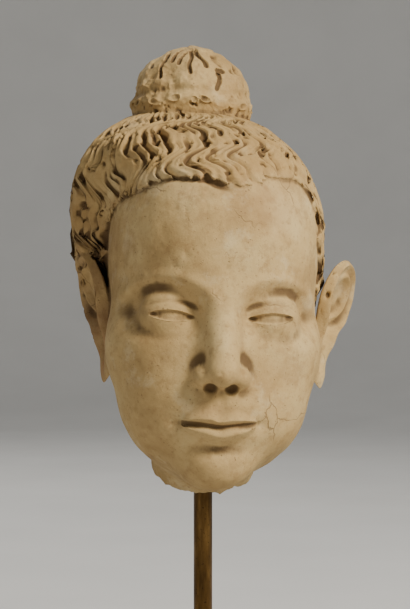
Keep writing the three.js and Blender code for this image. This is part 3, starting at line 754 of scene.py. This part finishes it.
bmesh.ops.transform(bm, matrix=place_head, verts=bm.verts)
for face in bm.faces:
    face.smooth = True
bm.to_mesh(head.data)
bm.free()
for name, values in (("hollow", hollow), ("deep", deep), ("in_hair", in_hair)):
    head.data.attributes.new(name, "FLOAT", "POINT").data.foreach_set("value", values.astype(np.float32))

aged_stucco = new_finish("aged_stucco")
shader = aged_stucco.node_tree.nodes["Principled BSDF"]
where = add(aged_stucco, "TexCoord", {}).outputs["Object"]


def read_mark(name):
    return add(aged_stucco, "Attribute", {}, attribute_name=name).outputs["Fac"]


def cloud(scale, detail=4.0, roughness=0.55, kind="TexNoise"):
    values = {"Vector": where, "Scale": scale, "Detail": detail, "Roughness": roughness}
    return add(aged_stucco, kind, values).outputs["Fac"]


def patch(place, reach, ragged=0.5, scale=60):
    """A patch of colour round a point of the head, in metres, with a ragged edge. It lays stains, flecks of pigment
    and, on the -X side, painted shade.
    """
    apart = add(aged_stucco, "VectorMath", {0: where, 1: place}, operation="DISTANCE").outputs["Value"]
    ragged_edge = calculate(aged_stucco, "MULTIPLY", cloud(scale, 5, 0.6), 2 * ragged * reach)
    return share(aged_stucco, calculate(aged_stucco, "ADD", apart, ragged_edge), reach * (1 + ragged), 0.3 * reach)


def both(first, second):
    return calculate(aged_stucco, "MULTIPLY", first, second)


# Lays a colour over the base at a given share: a stain, or painted shade where marked below.
def lay_colour(base, factor, strength, colour):
    return blend_colour(aged_stucco, both(factor, strength), base, colour)


base = tones(
    aged_stucco,
    cloud(17, 7, 0.62),
    (0.34, (0.33, 0.215, 0.085)),
    (0.5, (0.45, 0.31, 0.132)),
    (0.66, (0.54, 0.4, 0.19)),
)
base = lay_colour(base, share(aged_stucco, cloud(150, 5, 0.65), 0.48, 0.72), 0.5, (0.26, 0.155, 0.06))
base = lay_colour(base, share(aged_stucco, cloud(42, 7, 0.7), 0.5, 0.66), 0.5, (0.3, 0.19, 0.08))
base = lay_colour(base, share(aged_stucco, cloud(31, 6, 0.7), 0.54, 0.66), 0.4, (0.58, 0.46, 0.27))
base = lay_colour(base, share(aged_stucco, cloud(520, 3, 0.6), 0.6, 0.72), 0.5, (0.2, 0.115, 0.05))
base = lay_colour(base, read_mark("in_hair"), 0.5, (0.36, 0.225, 0.08))
base = lay_colour(base, patch((0.035, -0.085, 0.33), 0.035), 0.5, (0.30, 0.175, 0.075))
base = lay_colour(base, patch((0.045, -0.075, 0.185), 0.045), 0.5, (0.34, 0.21, 0.07))
# Painted shade: two dark patches on the -X side, at the temple and by the ear, darken the side turned away from the
# key light.
base = lay_colour(base, patch((-0.09, -0.03, 0.3), 0.055), 0.7, (0.13, 0.06, 0.028))
base = lay_colour(base, patch((-0.085, 0.0, 0.25), 0.06), 0.75, (0.15, 0.06, 0.03))
flecks = share(aged_stucco, cloud(95, 6, 0.7), 0.52, 0.6)
for spot, reach in (((-0.075, -0.06, 0.33), 0.04), ((-0.08, -0.01, 0.24), 0.04), ((-0.02, -0.1, 0.345), 0.03)):
    base = lay_colour(base, both(patch(spot, reach), flecks), 0.55, (0.3, 0.1, 0.05))
# Painted shade and dirt: the fine hollows, grooves, pits and cracks of the stucco are darkened.
base = lay_colour(base, share(aged_stucco, read_mark("hollow"), 0.1, 0.8), 0.85, (0.085, 0.045, 0.018))
# Painted shade and dirt: the deeper hollows between the locks of hair are darkened.
hair_hollow_shade_and_dirt = both(share(aged_stucco, read_mark("deep"), 1.2, 5.0), read_mark("in_hair"))
base = lay_colour(base, hair_hollow_shade_and_dirt, 0.6, (0.11, 0.062, 0.028))
wander = add(aged_stucco, "TexNoise", {"Vector": where, "Scale": 70, "Detail": 4}).outputs["Color"]
wandered = add(aged_stucco, "VectorMath", {0: wander, 1: (0.014, 0.014, 0.014)}, operation="MULTIPLY").outputs[0]
crack_place = add(aged_stucco, "VectorMath", {0: where, 1: wandered}, operation="ADD").outputs[0]
crack_cells = add(
    aged_stucco, "TexVoronoi", {"Vector": crack_place, "Scale": 21}, feature="DISTANCE_TO_EDGE"
).outputs["Distance"]
cracked = share(aged_stucco, crack_cells, 0.003, 0.009, 1, 0)
cracked = both(cracked, share(aged_stucco, cloud(16, 2), 0.56, 0.64))
base = lay_colour(base, cracked, 0.45, (0.15, 0.085, 0.04))
pits = add(aged_stucco, "TexVoronoi", {"Vector": where, "Scale": 330, "Randomness": 1.0}).outputs["Distance"]
pitted = both(share(aged_stucco, pits, 0.06, 0.2, 1, 0), share(aged_stucco, cloud(120, 5), 0.5, 0.64))
base = lay_colour(base, pitted, 0.55, (0.18, 0.11, 0.055))
aged_stucco.node_tree.links.new(base, shader.inputs["Base Color"])
shader.inputs["Roughness"].default_value = 0.9
shader.inputs["Specular IOR Level"].default_value = 0.25
height = calculate(aged_stucco, "ADD", both(cloud(700, 5, 0.7), 0.5), both(cloud(160, 5, 0.65), 0.9))
height = calculate(aged_stucco, "SUBTRACT", height, calculate(aged_stucco, "MAXIMUM", pitted, cracked))
surface = add(aged_stucco, "Bump", {"Height": height, "Strength": 0.7, "Distance": 0.0008}).outputs["Normal"]
aged_stucco.node_tree.links.new(surface, shader.inputs["Normal"])

head.data.materials.clear()
head.data.materials.append(aged_stucco)
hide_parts("head")
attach(head, "root")

# Floor and backdrop.
# A pale painted floor that sweeps up all round into a low wall, so that no line shows behind the head.
STAGE_RADIUS = 4.0
STAGE_CURVE = 1.4
STAGE_WALL = 3.2

bm = bmesh.new()
corner = bm.verts.new((0, 0, 0))
profile = [corner]
for index in range(9):
    angle = math.radians(90 * index / 8)
    across = STAGE_RADIUS - STAGE_CURVE + STAGE_CURVE * math.sin(angle)
    profile.append(bm.verts.new((across, 0, STAGE_CURVE * (1 - math.cos(angle)))))
profile.append(bm.verts.new((STAGE_RADIUS, 0, STAGE_WALL)))
lines = [bm.edges.new(pair) for pair in zip(profile, profile[1:])]
bmesh.ops.spin(
    bm, geom=profile + lines, cent=(0, 0, 0), axis=(0, 0, 1), angle=2 * math.pi, steps=96, use_merge=True
)
bmesh.ops.remove_doubles(bm, verts=bm.verts, dist=1e-5)
bmesh.ops.recalc_face_normals(bm, faces=bm.faces)
for face in bm.faces:
    face.smooth = True
floor = made_piece("painted_floor", bm)
floor_paint = new_finish("floor_paint")
shader = floor_paint.node_tree.nodes["Principled BSDF"]
where = add(floor_paint, "TexCoord", {}).outputs["Object"]
rolled = add(floor_paint, "TexNoise", {"Vector": where, "Scale": 5, "Detail": 5}).outputs["Fac"]
paint_tone = tones(floor_paint, rolled, (0.3, (0.66, 0.66, 0.65)), (0.7, (0.7, 0.7, 0.69)))
floor_paint.node_tree.links.new(paint_tone, shader.inputs["Base Color"])
shader.inputs["Roughness"].default_value = 0.8
floor.data.materials.append(floor_paint)

# Lights.
# One soft light from the upper right, as on the real head, a much weaker one from the left, one from behind and an
# even sky.
LOOKED_AT = Vector((0, 0, 0.27))


def soft_light(name, place, width, power, colour):
    data = bpy.data.lights.new(name, "AREA")
    data.shape = "DISK"
    data.size = width
    data.energy = power
    data.color = colour
    light = bpy.data.objects.new(name, data)
    light.location = place
    light.rotation_euler = (LOOKED_AT - Vector(place)).to_track_quat("-Z", "Y").to_euler()
    bpy.context.scene.collection.objects.link(light)


soft_light("key_light", (0.95, -1.1, 1.3), 0.45, 50, (1.0, 0.94, 0.84))
soft_light("fill_light", (-1.5, -1.3, 0.6), 1.4, 4, (1.0, 0.98, 0.95))
soft_light("back_light", (-0.6, 1.6, 1.5), 0.9, 12, (1.0, 0.97, 0.92))

world = bpy.data.worlds.new("even_sky")
world.use_nodes = True
world.node_tree.nodes["Background"].inputs["Color"].default_value = (0.97, 0.98, 1.0, 1)
world.node_tree.nodes["Background"].inputs["Strength"].default_value = 0.27
bpy.context.scene.world = world

# Camera.
# Level with the middle of the head and moved a little to the viewer's left, with a long lens.
CAMERA_DISTANCE = 1.09
CAMERA_TURN = -5

turn = math.radians(CAMERA_TURN)
eye_line = Vector((0, 0, 0.268)) + Vector((math.cos(turn), math.sin(turn), 0)) * 0.0013
camera_data = bpy.data.cameras.new("camera")
camera_data.lens = 100
camera_data.sensor_width = 36
camera = bpy.data.objects.new("camera", camera_data)
camera.location = eye_line + Vector((math.sin(turn), -math.cos(turn), 0)) * CAMERA_DISTANCE
camera.rotation_euler = (eye_line - camera.location).to_track_quat("-Z", "Y").to_euler()
bpy.context.scene.collection.objects.link(camera)
bpy.context.scene.camera = camera
